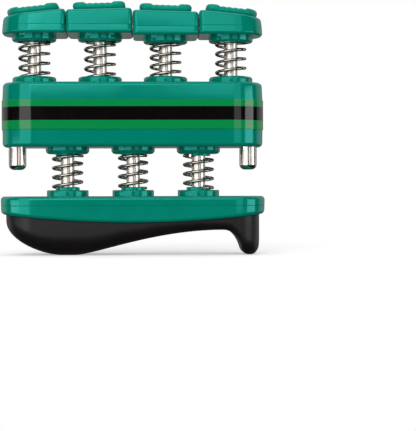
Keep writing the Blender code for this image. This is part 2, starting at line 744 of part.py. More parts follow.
def pad_outline(half):
    """Front-view outline of a pad: a flat foot, round shoulders, end lips and ribs between them."""
    ribs_half = PAD_RIB_COUNT * PAD_RIB_PITCH / 2
    lip = PAD_RISE + PAD_LIP_RISE
    foot = PRESS_GAP - PAD_RECESS
    right = []
    for angle in spread(0.0, math.pi / 2, EDGE_STEPS):
        right.append((
            half - PAD_SHOULDER * (1 - math.cos(angle)), lip - PAD_SHOULDER * (1 - math.sin(angle)),
        ))
    for share in spread(1.0, 0.0, EDGE_STEPS + 1)[:-1]:
        height = PAD_RISE + PAD_LIP_RISE * (1 - math.cos(math.pi * share)) / 2
        right.append((ribs_half + PAD_LIP_RAMP * share, height))
    ribs = []
    for x in spread(ribs_half, -ribs_half, PAD_RIB_COUNT * PAD_RIB_STEPS):
        wave = 1 - math.cos(math.tau * (x + ribs_half) / PAD_RIB_PITCH)
        ribs.append((x, PAD_RISE + PAD_RIB_HEIGHT * wave / 2))
    left = [(-x, z) for x, z in reversed(right)]
    return [(-half, foot), (half, foot), *right, *ribs, *left]


def build_finger(number, x, sink, plastic, soft, steel, spring_steel):
    frame = add_frame(f"finger_{number}_slide", (x, 0.0, 0.0))
    box, pad_box, height, slope = button_form(number)
    bottom = BUTTON_BOTTOM - sink
    seat = BUTTON_SEAT - sink
    deck = bottom + height

    top_ring = [
        (px, py, deck + px * math.tan(slope)) for px, py in plan_outline(top_box(box), BUTTON_TOP_DRAFT)
    ]
    button = loft(f"finger_button_{number}", [
        plan_ring(box, 0.0, bottom),
        plan_ring(box, BUTTON_PARTING_DRAFT, bottom + BUTTON_PARTING),
        top_ring,
    ], rounded=(0, -1))
    round_edges(button, BUTTON_EDGE_ROUND)
    recess = plan_block(f"pad_recess_cut_{number}", pad_box, -PRESS_GAP, -PAD_RECESS, PAD_RISE)
    stem = boss(
        f"button_boss_{number}", DOWN, BUTTON_FLANGE, seat, bottom + OVERSHOOT, SPIGOT_DIAMETER,
        bottom + 2 * OVERSHOOT,
    )
    socket_top = bottom + BUTTON_SOCKET_DEPTH
    socket = bore(
        f"button_socket_cut_{number}", ROD_DIAMETER + 2 * PRESS_GAP, socket_top,
        seat - SPIGOT_HEIGHT - OVERSHOOT,
    )
    pad = loft(f"finger_pad_{number}", [
        [(px, y, pz) for px, pz in pad_outline(pad_box[1])] for y in (-PAD_DEPTH, PAD_DEPTH)
    ])
    pad_plan = plan_block(f"pad_plan_cut_{number}", pad_box, 0.0, -PAD_RISE, 2 * PAD_RISE)
    for piece in (recess, pad, pad_plan):
        piece.location.z = deck
        piece.rotation_euler.y = -slope
    combine(pad, "INTERSECT", add_cutter(pad_plan, frame))
    for operand, operation in ((recess, "DIFFERENCE"), (stem, "UNION"), (socket, "DIFFERENCE")):
        combine(button, operation, add_cutter(operand, frame))

    ring_middle = CASE_TOP - CASE_WALL - GUIDE_LENGTH - RING_GAP - RING_THICKNESS / 2
    rod_bottom = ring_middle - RING_THICKNESS / 2 - ROD_TAIL
    shaft = rod(f"finger_rod_{number}", socket_top - PRESS_GAP, rod_bottom, ring_middle)
    clip = retaining_ring(f"finger_clip_{number}", ring_middle)
    for piece, material in ((button, plastic), (pad, soft), (shaft, steel), (clip, spring_steel)):
        add_part(piece, material, frame)


def build_all():
    green = new_material("green_plastic", (0.000, 0.235, 0.165), 0.28)
    pad_green = new_material("green_pad", (0.000, 0.215, 0.150), 0.45)
    film = new_material("label_film", (0.010, 0.009, 0.009), 0.25)
    rubber = new_material("black_rubber", (0.022, 0.020, 0.020), 0.60)
    steel = new_material("bright_steel", (0.620, 0.610, 0.600), 0.15, 1.0)
    spring_steel = new_material("spring_steel", (0.560, 0.550, 0.540), 0.20, 1.0)

    base_frame = add_frame("base_stand", (0.0, 0.0, 0.0))
    build_base(base_frame, green)
    build_grip(base_frame, rubber)
    build_base_rods(base_frame, steel, spring_steel)

    case_frame = add_frame("case_slide", (0.0, 0.0, 0.0))
    build_lower_case(case_frame, green)
    build_upper_case(case_frame, green)
    build_label(case_frame, film)
    build_stop_pins(case_frame, steel)
    build_finger_springs(case_frame, spring_steel)

    for number, (x, sink) in enumerate(zip(FINGER_X, BUTTON_SINK), 1):
        build_finger(number, x, sink, green, pad_green, steel, spring_steel)


clear_scene()
PARTS = new_collection("finger_exerciser")
CUTTERS = new_collection("cutters")
build_all()
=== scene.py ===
"""Looks of a four-finger hand exerciser: fine surfaces, finishes, light and camera.

Each piece is modelled in the place of one solid of the frame and stands for it, apart from the
retaining rings, which stay as the frame has them. Units are metres. +Z is up and the front faces -Y.
"""

import json
import math

import bmesh
import bpy
from mathutils import Matrix, Quaternion, Vector


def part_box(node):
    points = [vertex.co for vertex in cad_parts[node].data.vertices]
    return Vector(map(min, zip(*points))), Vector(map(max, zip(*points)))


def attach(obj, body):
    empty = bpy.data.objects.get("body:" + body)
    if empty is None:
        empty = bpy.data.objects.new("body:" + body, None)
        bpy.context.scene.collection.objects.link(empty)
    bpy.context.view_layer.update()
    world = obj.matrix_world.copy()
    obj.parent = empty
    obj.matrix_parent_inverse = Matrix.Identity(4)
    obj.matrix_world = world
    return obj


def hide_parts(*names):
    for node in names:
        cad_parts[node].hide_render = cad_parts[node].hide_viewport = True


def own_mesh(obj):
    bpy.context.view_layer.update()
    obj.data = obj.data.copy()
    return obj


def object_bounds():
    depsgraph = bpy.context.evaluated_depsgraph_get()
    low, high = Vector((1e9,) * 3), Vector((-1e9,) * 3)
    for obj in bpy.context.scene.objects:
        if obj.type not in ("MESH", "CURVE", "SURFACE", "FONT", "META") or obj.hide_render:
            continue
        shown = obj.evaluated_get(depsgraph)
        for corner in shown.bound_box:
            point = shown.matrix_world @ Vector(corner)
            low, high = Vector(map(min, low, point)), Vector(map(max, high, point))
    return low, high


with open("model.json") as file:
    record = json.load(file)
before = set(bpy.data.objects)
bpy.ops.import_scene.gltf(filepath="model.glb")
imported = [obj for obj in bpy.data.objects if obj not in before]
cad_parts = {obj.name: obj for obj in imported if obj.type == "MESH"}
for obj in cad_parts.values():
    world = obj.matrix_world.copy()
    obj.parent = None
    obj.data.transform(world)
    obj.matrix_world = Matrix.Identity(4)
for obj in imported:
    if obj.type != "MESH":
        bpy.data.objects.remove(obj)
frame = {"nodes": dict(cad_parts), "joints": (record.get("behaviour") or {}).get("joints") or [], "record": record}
CAD_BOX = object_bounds()

# Fineness of round shapes
CORNER_STEPS = 14
SIDE_STEPS = 24
TURN_STEPS = 64
FILLET_STEPS = 6
CURVE_STEPS = 30

# Least corner radius that an inset leaves
MIN_CORNER = 0.0003

# Angles in degrees from which an edge stays sharp
SHARP_ANGLE = 40.0
GRIP_SHARP_ANGLE = 60.0
PAD_SHARP_ANGLE = 50.0

# Clearances, and how far a cutter runs past a face
RUNNING_GAP = 0.00015
PRESS_GAP = 0.00010
LABEL_GAP = 0.00005
BOND_GAP = 0.00010
OVERSHOOT = 0.0010

# Rods and pins
ROD_CHAMFER = 0.0004
GROOVE_DEPTH = 0.0005
RING_THICKNESS = 0.0006
PIN_ROUND = 0.0016

# Springs, with the angles in degrees at which their wire starts
SPRING_WIRE = 0.00088
SPRING_END_TURNS = 0.15
SPRING_POINTS_PER_TURN = 48
SPRING_SIDES = 16
FINGER_SPRING_TURNS = 3.75
BASE_SPRING_TURNS = 3.50
FINGER_SPRING_ANGLES = (112.0, 147.0, 39.0, 277.0)
BASE_SPRING_ANGLES = (66.0, 37.0, 295.0)

# Spring seats, and their flanges: diameter, rounding of the free edge, heights of the rim and the spigot
SPIGOT_DIAMETER = 0.00734
SPIGOT_HEIGHT = 0.0009
SPIGOT_CHAMFER = 0.0002
LOWER_SPIGOT_HEIGHT = 0.0006
RIM_BORE = 0.0104
RIM_CHAMFER = 0.00015
BASE_FLANGE_HEIGHT = 0.0019
LOWER_FLANGE_HEIGHT = 0.0020
UPPER_FLANGE_HEIGHT = 0.0011
BUTTON_FLANGE_HEIGHT = 0.0013
BASE_FLANGE = (0.0127, 0.0004, 0.0, SPIGOT_HEIGHT)
LOWER_FLANGE = (0.0133, 0.0012, 0.0, LOWER_SPIGOT_HEIGHT)
UPPER_FLANGE = (0.0133, 0.0008, 0.0009, SPIGOT_HEIGHT)
BUTTON_FLANGE = (0.0135, 0.0008, 0.0006, SPIGOT_HEIGHT)
POST_DIAMETER = 0.0072

# Base plate
BASE_CORNER = 0.0095
BASE_TOP_DRAFT = 0.00001
BASE_PARTING_DRAFT = 0.00004
BASE_LOW_DRAFT = 0.0001
BASE_TOP_ROUND = 0.0011
BASE_LOW_ROUND = 0.0011
BASE_PARTING_DROP = 0.0028
BASE_UNDERSIDE_HEIGHT = 0.0099
BASE_UNDERSIDE_RISE = 0.0026
BASE_WALL = 0.0022
BASE_SOCKET_DEPTH = 0.0048
BASE_SOCKET_FLOOR = 0.0010

# Moulding lines left where two halves of a mould met
PARTING_WIDTH = 0.00025
BASE_PARTING_DEPTH = 0.00012
BUTTON_PARTING_DEPTH = 0.00008

# Palm grip: front-view landmarks of its underside, and the rounding of its lower edges with its limit
GRIP_INSET = 0.0016
GRIP_CORNER = 0.0080
GRIP_HEEL_HEIGHT = 0.0097
GRIP_HEEL_REACH = 0.0039
GRIP_BULGE_X = -0.0195
GRIP_BULGE_FLAT = 0.0033
GRIP_BULGE_FRONT_REACH = 0.0080
GRIP_BULGE_REAR_REACH = 0.0062
GRIP_SADDLE_X = 0.0271
GRIP_SADDLE_HEIGHT = 0.0076
GRIP_SADDLE_FRONT_REACH = 0.0208
GRIP_SADDLE_REAR_REACH = 0.0047
GRIP_HORN_RADIUS = 0.0026
GRIP_HORN_FLAT = 0.0005
GRIP_HORN_START = 214.0
GRIP_HORN_REACH = 0.0012
GRIP_HORN_LEAN = 0.0002
GRIP_HEEL_ROUND = 0.0040
GRIP_BULGE_ROUND = 0.0064
GRIP_SADDLE_ROUND = 0.0024
GRIP_HORN_ROUND = 0.0048
GRIP_ROUND_SHARE = 0.92
GRIP_ARC_STEPS = 10

# Case, and the heights of the stripe on its label
CASE_CORNER = 0.0095
CASE_WALL = 0.0020
UPPER_CASE_DRAFT = 0.0002
LOWER_CASE_DRAFT = 0.00005
CASE_ROUND = 0.0012
CASE_LIP = 0.0010
CASE_SEAM_RISE = 0.0098
GUIDE_LENGTH = 0.0011
PIN_SOCKET_WALL = 0.0012
PIN_SOCKET_HEIGHT = 0.0038
LABEL_STRIPE_LOW = 0.04063
LABEL_STRIPE_HIGH = 0.04475
LABEL_ROUND = 0.00006

# Finger buttons
BUTTON_CORNER = 0.0016
BUTTON_END_CORNER = 0.0090
BUTTON_PARTING_DRAFT = 0.00012
BUTTON_TOP_DRAFT = 0.00035
BUTTON_SIDE_DRAFT = 0.00005
BUTTON_CLOSER = 0.00007
BUTTON_LOW_ROUND = 0.0008
BUTTON_TOP_ROUND = 0.0010
BUTTON_PARTING = 0.0026
BUTTON_INNER_HEIGHT = 0.0073
BUTTON_OUTER_HEIGHT = 0.0063
BUTTON_INNER_SLOPE = 1.6
BUTTON_OUTER_SLOPE = 6.0
BUTTON_SOCKET_DEPTH = 0.0036

# Ribbed pads
PAD_DEPTH = 0.0164
PAD_WIDTH = 0.0158
PAD_CORNER = 0.0022
PAD_END_CORNER = 0.0066
PAD_RECESS = 0.0005
PAD_RISE = 0.0018
PAD_LIP_RISE = 0.00048
PAD_LIP_RAMP = 0.0011
PAD_ROUND = 0.0010
PAD_TUCK = 50.0
PAD_RIB_COUNT = 4
PAD_RIB_PITCH = 0.0018
PAD_RIB_HEIGHT = 0.00015
PAD_CUTS = 90
PAD_CUT_TOLERANCE = 0.000001

# Photograph: frame, the point seen square-on and focal length, in pixels, and roll in degrees
PHOTO_WIDTH = 416
PHOTO_HEIGHT = 431
PHOTO_CENTRE_X = 152.9
PHOTO_CENTRE_Y = 189.8
PHOTO_FOCAL = 1466.5
PHOTO_ROLL = 0.15

# Camera
SENSOR_MM = 36.0
CLIP_START = 0.01
CLIP_END = 20.0
CAMERA_X = 0.006
CAMERA_DISTANCE = 0.450
CAMERA_HEIGHT = 0.0197

# Body of each node, joints by name, and the repeated nodes
RECORD = frame["record"]
BODY_OF = {node: body for body, nodes in RECORD["behaviour"]["bodies"].items() for node in nodes}
JOINTS = {joint["name"]: joint for joint in frame["joints"]}
FINGERS = [1, 2, 3, 4]
BASES = [1, 2, 3]
STOP_PINS = ("stop_pin_left", "stop_pin_right")

# The two ways that a spring seat can face
UP = 1
DOWN = -1


def middle(node):
    low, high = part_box(node)
    return (low + high) / 2


def fixed_end(joint):
    """Height of the end of a joint's springs that stays in place."""
    return JOINTS[joint]["deforming_nodes"][0]["fixed_end_z_m"]


def numbered(kind):
    """Names of all nodes of a kind that both rows have."""
    return [f"base_{kind}_{number}" for number in BASES] + [f"finger_{kind}_{number}" for number in FINGERS]


# Places read from the frame
FINGER_X = [middle(f"finger_rod_{number}").x for number in FINGERS]
BASE_X = [middle(f"base_rod_{number}").x for number in BASES]
BASE_SEAT = fixed_end("case_press")
BASE_TOP = BASE_SEAT - BASE_FLANGE_HEIGHT
LOWER_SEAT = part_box("lower_case")[0].z + LOWER_SPIGOT_HEIGHT
CASE_BOTTOM = LOWER_SEAT + LOWER_FLANGE_HEIGHT
CASE_SEAM = CASE_BOTTOM + CASE_SEAM_RISE
UPPER_SEAT = fixed_end("finger_1_press")
CASE_TOP = UPPER_SEAT - UPPER_FLANGE_HEIGHT
BASE_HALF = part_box("base_plate")[1].x
BASE_DEPTH = 2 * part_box("base_plate")[1].y
BASE_BOX = (-BASE_HALF, BASE_HALF, BASE_DEPTH / 2, BASE_CORNER, BASE_CORNER)
CASE_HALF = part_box("lower_case")[1].x
CASE_DEPTH = 2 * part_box("lower_case")[1].y
CASE_BOX = (-CASE_HALF, CASE_HALF, CASE_DEPTH / 2, CASE_CORNER, CASE_CORNER)
ROD_DIAMETER = 2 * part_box("base_rod_1")[1].y
PIN_DIAMETER = 2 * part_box("stop_pin_left")[1].y


def spread(low, high, steps):
    """Return evenly spaced values from low to high, both included."""
    return [low + (high - low) * step / steps for step in range(steps + 1)]


def mesh_object(name, bm):
    bmesh.ops.recalc_face_normals(bm, faces=bm.faces)
    mesh = bpy.data.meshes.new(name)
    bm.to_mesh(mesh)
    bm.free()
    obj = bpy.data.objects.new(name, mesh)
    bpy.context.scene.collection.objects.link(obj)
    return obj


def loft(name, rings, closed=False):
    """Skin a stack of rings of points, with end caps, or with the last ring joined to the first."""
    bm = bmesh.new()
    loops = [[bm.verts.new(point) for point in ring] for ring in rings]
    pairs = list(zip(loops, loops[1:]))
    if closed:
        pairs.append((loops[-1], loops[0]))
    for low, high in pairs:
        for here, after in zip(range(-1, len(low) - 1), range(len(low))):
            bm.faces.new((low[here], low[after], high[after], high[here]))
    if not closed:
        bm.faces.new(list(reversed(loops[0])))
        bm.faces.new(loops[-1])
    return mesh_object(name, bm)


def circle(radius, height, x=0.0, start=0.0):
    return [
        (x + radius * math.cos(start + math.tau * step / TURN_STEPS),
         radius * math.sin(start + math.tau * step / TURN_STEPS), height)
        for step in range(TURN_STEPS)
    ]


def turned(name, profile, x=0.0, start=0.0):
    """Turn a profile of radius and height points about an upright axis at x."""
    return loft(name, [circle(radius, height, x, start) for radius, height in profile])


def cylinder(name, diameter, low, high, x):
    return turned(name, [(diameter / 2, low), (diameter / 2, high)], x)


def bore(name, diameter, low, high, x):
    """A cylinder to cut with, half a step round so that its corners miss those of its boss."""
    return turned(name, [(diameter / 2, low), (diameter / 2, high)], x, math.pi / TURN_STEPS)


def carve(obj, joined=(), cuts=()):
    """Join an object with others, cut it with others, and drop those."""
    for operation, others in (("UNION", joined), ("DIFFERENCE", cuts)):
        for other in others:
            modifier = obj.modifiers.new(other.name, "BOOLEAN")
            modifier.operation = operation
            modifier.solver = "EXACT"
            modifier.object = other
    evaluated = obj.evaluated_get(bpy.context.evaluated_depsgraph_get())
    mesh = bpy.data.meshes.new_from_object(evaluated)
    obj.modifiers.clear()
    obj.data = mesh
    for other in (*joined, *cuts):
        bpy.data.objects.remove(other, do_unlink=True)
    return obj


def fillet(radius):
    """Return steps round a fillet from face to wall: how far each lies in from the wall and from the face."""
    angles = spread(0.0, math.pi / 2, FILLET_STEPS)
    return [(radius * (1 - math.sin(angle)), radius * (1 - math.cos(angle))) for angle in angles]


def groove(height, depth):
    """Return inset and height of a moulding line round a wall, from above to below."""
    half = PARTING_WIDTH / 2
    return [(0.0, height + half), (depth, height), (0.0, height - half)]


def plan_outline(box, inset, side_steps=1):
    """Return the plan points of a rounded box, anticlockwise from above, pulled in by inset."""
    x_low, x_high, half_depth, radius_low, radius_high = box
    points = []
    for x_edge, side_x, side_y, radius, start in (
        (x_high, 1, -1, radius_high, 270),
        (x_high, 1, 1, radius_high, 0),
        (x_low, -1, 1, radius_low, 90),
        (x_low, -1, -1, radius_low, 180),
    ):
        reach = max(radius - inset, MIN_CORNER)
        centre_x = x_edge - side_x * (inset + reach)
        centre_y = side_y * (half_depth - inset - reach)
        corner = []
        for angle in spread(math.radians(start), math.radians(start + 90), CORNER_STEPS):
            corner.append((centre_x + reach * math.cos(angle), centre_y + reach * math.sin(angle)))
        if side_x < 0 and side_y > 0:
            points += side_points(points[-1], corner[0], side_steps)
        points += corner
    points += side_points(points[-1], points[0], side_steps)
    return points


def side_points(start, end, steps):
    """Return the points between two corners, without the corners."""
    return [
        (start[0] + (end[0] - start[0]) * step / steps, start[1] + (end[1] - start[1]) * step / steps)
        for step in range(1, steps)
    ]


def plan_ring(box, inset, height):
    return [(x, y, height) for x, y in plan_outline(box, inset)]


def boss_profile(way, flange, seat, embed, post_diameter, post_end):
    """Radius and height points of a spring seat that faces up or down: spigot, flange, any rim, and post."""
    diameter, corner, rim_height, spigot_height = flange
    radius = diameter / 2
    spigot = SPIGOT_DIAMETER / 2
    tip = seat + way * spigot_height
    rim = seat + way * rim_height
    profile = [(spigot - SPIGOT_CHAMFER, tip), (spigot, tip - way * SPIGOT_CHAMFER), (spigot, seat)]
    if rim_height:
        profile += [
            (RIM_BORE / 2, seat),
            (RIM_BORE / 2, rim - way * RIM_CHAMFER),
            (RIM_BORE / 2 + RIM_CHAMFER, rim),
        ]
    for inset, drop in fillet(corner):
        profile.append((radius - inset, rim - way * drop))
    return [*profile, (radius, embed), (post_diameter / 2, embed), (post_diameter / 2, post_end)]


def dress(obj, node, material, sharp=SHARP_ANGLE):
    """Finish a piece and let it stand for a node of the frame."""
    obj.data.materials.clear()
    obj.data.materials.append(material)
    obj.data.shade_smooth()
    obj.data.set_sharp_from_angle(angle=math.radians(sharp))
    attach(obj, BODY_OF[node])
    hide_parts(node)
    return obj


def flat_normals(obj):
    """Keep flat faces flat where they run into fillets."""
    modifier = obj.modifiers.new("Normals", "WEIGHTED_NORMAL")
    modifier.keep_sharp = True
    return obj


def underside(x):
    """Height of the base plate's arched underside."""
    return BASE_UNDERSIDE_HEIGHT + BASE_UNDERSIDE_RISE * (x / BASE_HALF) ** 2


def build_base(material):
    rings = []
    for inset, drop in fillet(BASE_TOP_ROUND):
        outline = plan_outline(BASE_BOX, BASE_TOP_DRAFT + inset, SIDE_STEPS)
        rings.append([(x, y, BASE_TOP - drop) for x, y in outline])
    for inset, height in groove(BASE_TOP - BASE_PARTING_DROP, BASE_PARTING_DEPTH):
        outline = plan_outline(BASE_BOX, BASE_PARTING_DRAFT + inset, SIDE_STEPS)
        rings.append([(x, y, height) for x, y in outline])
    for inset, rise in reversed(fillet(BASE_LOW_ROUND)):
        outline = plan_outline(BASE_BOX, BASE_LOW_DRAFT + inset, SIDE_STEPS)
        rings.append([(x, y, underside(x) + rise) for x, y in outline])
    hollow = plan_outline(BASE_BOX, BASE_WALL, SIDE_STEPS)
    rings.append([(x, y, underside(x)) for x, y in hollow])
    rings.append([(x, y, BASE_TOP - BASE_WALL) for x, y in hollow])
    base = loft("base_plate_shell", rings)
    socket_floor = BASE_TOP - BASE_SOCKET_DEPTH
    profile = boss_profile(
        UP, BASE_FLANGE, BASE_SEAT, BASE_TOP - BASE_WALL / 2, POST_DIAMETER, socket_floor - BASE_SOCKET_FLOOR,
    )
    bosses = [turned("boss", profile, x) for x in BASE_X]
    top = BASE_SEAT + SPIGOT_HEIGHT + OVERSHOOT
    sockets = [bore("socket", ROD_DIAMETER + 2 * PRESS_GAP, socket_floor, top, x) for x in BASE_X]
    flat_normals(dress(carve(base, bosses, sockets), "base_plate", material))


def bezier(start, leave, arrive, end):
    """Points of a cubic curve, without its end point."""
    points = []
    for step in range(CURVE_STEPS):
        t = step / CURVE_STEPS
        points.append(
            start * (1 - t) ** 3 + leave * 3 * t * (1 - t) ** 2 + arrive * 3 * t * t * (1 - t) + end * t ** 3
        )
    return points


def grip_stations():
    """Front-view points of the grip's underside, left to right, each with its edge rounding."""
    right = BASE_HALF - GRIP_INSET
    horn_x = right - GRIP_HORN_LEAN - GRIP_HORN_RADIUS - GRIP_HORN_FLAT
    heel = Vector((-right, GRIP_HEEL_HEIGHT))
    bulge_low = Vector((GRIP_BULGE_X - GRIP_BULGE_FLAT / 2, 0.0))
    bulge_high = Vector((GRIP_BULGE_X + GRIP_BULGE_FLAT / 2, 0.0))
    saddle = Vector((GRIP_SADDLE_X, GRIP_SADDLE_HEIGHT))
    turn = math.radians(GRIP_HORN_START)
    horn = Vector((horn_x + GRIP_HORN_RADIUS * math.cos(turn), GRIP_HORN_RADIUS * (1 + math.sin(turn))))
    horn_way = Vector((-math.sin(turn), math.cos(turn)))
    bulge = bezier(
        heel, heel - Vector((0.0, GRIP_HEEL_REACH)),
        bulge_low - Vector((GRIP_BULGE_FRONT_REACH, 0.0)), bulge_low,
    )
    flank = bezier(
        bulge_high, bulge_high + Vector((GRIP_BULGE_REAR_REACH, 0.0)),
        saddle - Vector((GRIP_SADDLE_FRONT_REACH, 0.0)), saddle,
    )
    throat = bezier(
        saddle, saddle + Vector((GRIP_SADDLE_REAR_REACH, 0.0)), horn - horn_way * GRIP_HORN_REACH, horn,
    )
    tip = []
    for centre_x, first, last in ((horn_x, GRIP_HORN_START, 270), (horn_x + GRIP_HORN_FLAT, 270, 360)):
        for angle in spread(math.radians(first), math.radians(last), GRIP_ARC_STEPS):
            tip.append(Vector((
                centre_x + GRIP_HORN_RADIUS * math.cos(angle), GRIP_HORN_RADIUS * (1 + math.sin(angle)),
            )))
    stations = []
    for points, low, high in (
        (bulge, GRIP_HEEL_ROUND, GRIP_BULGE_ROUND),
        ([bulge_low], GRIP_BULGE_ROUND, GRIP_BULGE_ROUND),
        (flank, GRIP_BULGE_ROUND, GRIP_SADDLE_ROUND),
        (throat, GRIP_SADDLE_ROUND, GRIP_HORN_ROUND),
        (tip, GRIP_HORN_ROUND, GRIP_HORN_ROUND),
    ):
        for index, point in enumerate(points):
            stations.append((point.x, point.y, low + (high - low) * index / len(points)))
    return stations


def grip_section(x, low, rounding):
    """One slice of the grip across its depth, from its top corner round the underside and back."""
    half_length = BASE_HALF - GRIP_INSET
    half_depth = BASE_DEPTH / 2 - GRIP_INSET
    past = max(abs(x) - (half_length - GRIP_CORNER), 0.0)
    half = half_depth - GRIP_CORNER + math.sqrt(max(GRIP_CORNER ** 2 - past ** 2, 0.0))
    top = underside(x) - BOND_GAP
    reach = min(rounding, GRIP_ROUND_SHARE * (top - low), GRIP_ROUND_SHARE * half)
    side = [(x, half, top)]
    for angle in spread(0.0, math.pi / 2, GRIP_ARC_STEPS):
        side.append((x, half - reach * (1 - math.cos(angle)), low + reach * (1 - math.sin(angle))))
    return side + [(x, -y, z) for x, y, z in reversed(side)]


def build_grip(material):
    grip = loft("palm_grip_skin", [grip_section(*station) for station in grip_stations()])
    dress(grip, "palm_grip", material, GRIP_SHARP_ANGLE)


def rod_profile(top, bottom, groove_middle):
    """A chamfered rod with a groove for its retaining ring."""
    radius = ROD_DIAMETER / 2
    floor = radius - GROOVE_DEPTH
    half = RING_THICKNESS / 2 + PRESS_GAP
    return [
        (radius - ROD_CHAMFER, top),
        (radius, top - ROD_CHAMFER),
        (radius, groove_middle + half),
        (floor, groove_middle + half),
        (floor, groove_middle - half),
        (radius, groove_middle - half),
        (radius, bottom + ROD_CHAMFER),
        (radius - ROD_CHAMFER, bottom),
    ]


def build_rods(material):
    for node in numbered("rod"):
        low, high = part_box(node)
        ring = middle(node.replace("rod", "clip")).z
        rod = turned(f"{node}_shaft", rod_profile(high.z, low.z, ring), middle(node).x)
        flat_normals(dress(rod, node, material))


def build_pins(material):
    for node in STOP_PINS:
        low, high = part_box(node)
        radius = PIN_DIAMETER / 2
        profile = [(radius - ROD_CHAMFER, high.z), (radius, high.z - ROD_CHAMFER)]
        for inset, rise in reversed(fillet(PIN_ROUND)):
            profile.append((radius - inset, low.z + rise))
        flat_normals(dress(turned(f"{node}_stem", profile, middle(node).x), node, material))


def build_clips(material):
    """The retaining rings stay as the frame has them, with their own finish."""
    for node in numbered("clip"):
        frame["nodes"][node].material_slots[0].material = material


def spring_rings(node, x, active_turns, start):
    """Rings of a wire that winds between the seats of a spring, with straight ends."""
    low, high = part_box(node)
    radius = high.y - SPRING_WIRE / 2
    foot = low.z + SPRING_WIRE / 2
    rise = high.z - low.z - SPRING_WIRE
    turns = active_turns + 2 * SPRING_END_TURNS
    count = round(turns * SPRING_POINTS_PER_TURN)
    line = []
    for step in range(count + 1):
        turn = turns * step / count
        share = min(max((turn - SPRING_END_TURNS) / active_turns, 0.0), 1.0)
        angle = math.radians(start) + math.tau * turn
        line.append(Vector((x + radius * math.cos(angle), radius * math.sin(angle), foot + rise * share)))
    line.insert(0, line[0] + (line[0] - line[1]).normalized() * SPRING_WIRE)
    line.append(line[-1] + (line[-1] - line[-2]).normalized() * SPRING_WIRE)
    rings = []
    for index, point in enumerate(line):
        way = (line[min(index + 1, len(line) - 1)] - line[max(index - 1, 0)]).normalized()
        out = Vector((point.x - x, point.y, 0.0))
        out = (out - way * out.dot(way)).normalized()
        up = way.cross(out)
        ring = []
        for side in range(SPRING_SIDES):
            angle = math.tau * side / SPRING_SIDES
            ring.append(point + (out * math.cos(angle) + up * math.sin(angle)) * SPRING_WIRE / 2)
        rings.append(ring)
    return rings


def build_spring(node, x, turns, start, material):
    coil = dress(loft(f"{node}_coil", spring_rings(node, x, turns, start)), node, material)
    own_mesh(coil)


def build_springs(material):
    for number, x, start in zip(BASES, BASE_X, BASE_SPRING_ANGLES):
        build_spring(f"base_spring_{number}", x, BASE_SPRING_TURNS, start, material)
    for number, x, start in zip(FINGERS, FINGER_X, FINGER_SPRING_ANGLES):
        build_spring(f"finger_spring_{number}", x, FINGER_SPRING_TURNS, start, material)


def build_lower_case(material):
    floor = CASE_BOTTOM + CASE_WALL
    seam = CASE_SEAM - BOND_GAP
    label_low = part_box("label_band")[0].z
    rings = []
    for inset, rise in fillet(CASE_ROUND):
        rings.append(plan_ring(CASE_BOX, LOWER_CASE_DRAFT + inset, CASE_BOTTOM + rise))
    rings += [
        plan_ring(CASE_BOX, inset, height)
        for inset, height in (
            (0.0, label_low),
            (0.0, seam),
            (CASE_WALL / 2, seam),
            (CASE_WALL / 2, seam - CASE_LIP),
            (CASE_WALL, seam - CASE_LIP),
            (CASE_WALL, floor),
        )
    ]
    lower = loft("lower_case_shell", rings)
    profile = boss_profile(
        DOWN, LOWER_FLANGE, LOWER_SEAT, CASE_BOTTOM + CASE_WALL / 2, POST_DIAMETER, floor + GUIDE_LENGTH,
    )
    joined = [turned("boss", profile, x) for x in BASE_X]
    low = LOWER_SEAT - LOWER_SPIGOT_HEIGHT - OVERSHOOT
    high = floor + GUIDE_LENGTH + OVERSHOOT
    cuts = [bore("bore", ROD_DIAMETER + 2 * RUNNING_GAP, low, high, x) for x in BASE_X]
    socket_top = floor + PIN_SOCKET_HEIGHT
    for node in STOP_PINS:
        x = middle(node).x
        wall = PIN_DIAMETER + 2 * PIN_SOCKET_WALL
        joined.append(cylinder("socket", wall, CASE_BOTTOM + CASE_WALL / 2, socket_top, x))
        cuts.append(bore("bore", PIN_DIAMETER + 2 * PRESS_GAP, low, socket_top + OVERSHOOT, x))
    flat_normals(dress(carve(lower, joined, cuts), "lower_case", material))


def build_upper_case(material):
    ceiling = CASE_TOP - CASE_WALL
    label_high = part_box("label_band")[1].z
    lip = CASE_WALL / 2 + BOND_GAP
    rings = []
    for inset, drop in fillet(CASE_ROUND):
        rings.append(plan_ring(CASE_BOX, UPPER_CASE_DRAFT + inset, CASE_TOP - drop))
    rings += [
        plan_ring(CASE_BOX, inset, height)
        for inset, height in (
            (0.0, label_high),
            (0.0, CASE_SEAM),
            (lip, CASE_SEAM),
            (lip, CASE_SEAM - CASE_LIP),
            (CASE_WALL, CASE_SEAM - CASE_LIP),
            (CASE_WALL, ceiling),
        )
    ]
    upper = loft("upper_case_shell", rings)
    profile = boss_profile(
        UP, UPPER_FLANGE, UPPER_SEAT, CASE_TOP - CASE_WALL / 2, POST_DIAMETER, ceiling - GUIDE_LENGTH,
    )
    bosses = [turned("boss", profile, x) for x in FINGER_X]
    low = ceiling - GUIDE_LENGTH - OVERSHOOT
    high = UPPER_SEAT + SPIGOT_HEIGHT + OVERSHOOT
    bores = [bore("bore", ROD_DIAMETER + 2 * RUNNING_GAP, low, high, x) for x in FINGER_X]
    flat_normals(dress(carve(upper, bosses, bores), "upper_case", material))


def build_label(material):
    low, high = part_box("label_band")
    outer = CASE_HALF - high.x
    inner = -LABEL_GAP
    rings = [
        plan_ring(CASE_BOX, inset, height)
        for inset, height in (
            (inner, low.z),
            (outer + LABEL_ROUND, low.z),
            (outer, low.z + LABEL_ROUND),
            (outer, high.z - LABEL_ROUND),
            (outer + LABEL_ROUND, high.z),
            (inner, high.z),
        )
    ]
    flat_normals(dress(loft("label_band_film", rings, closed=True), "label_band", material))


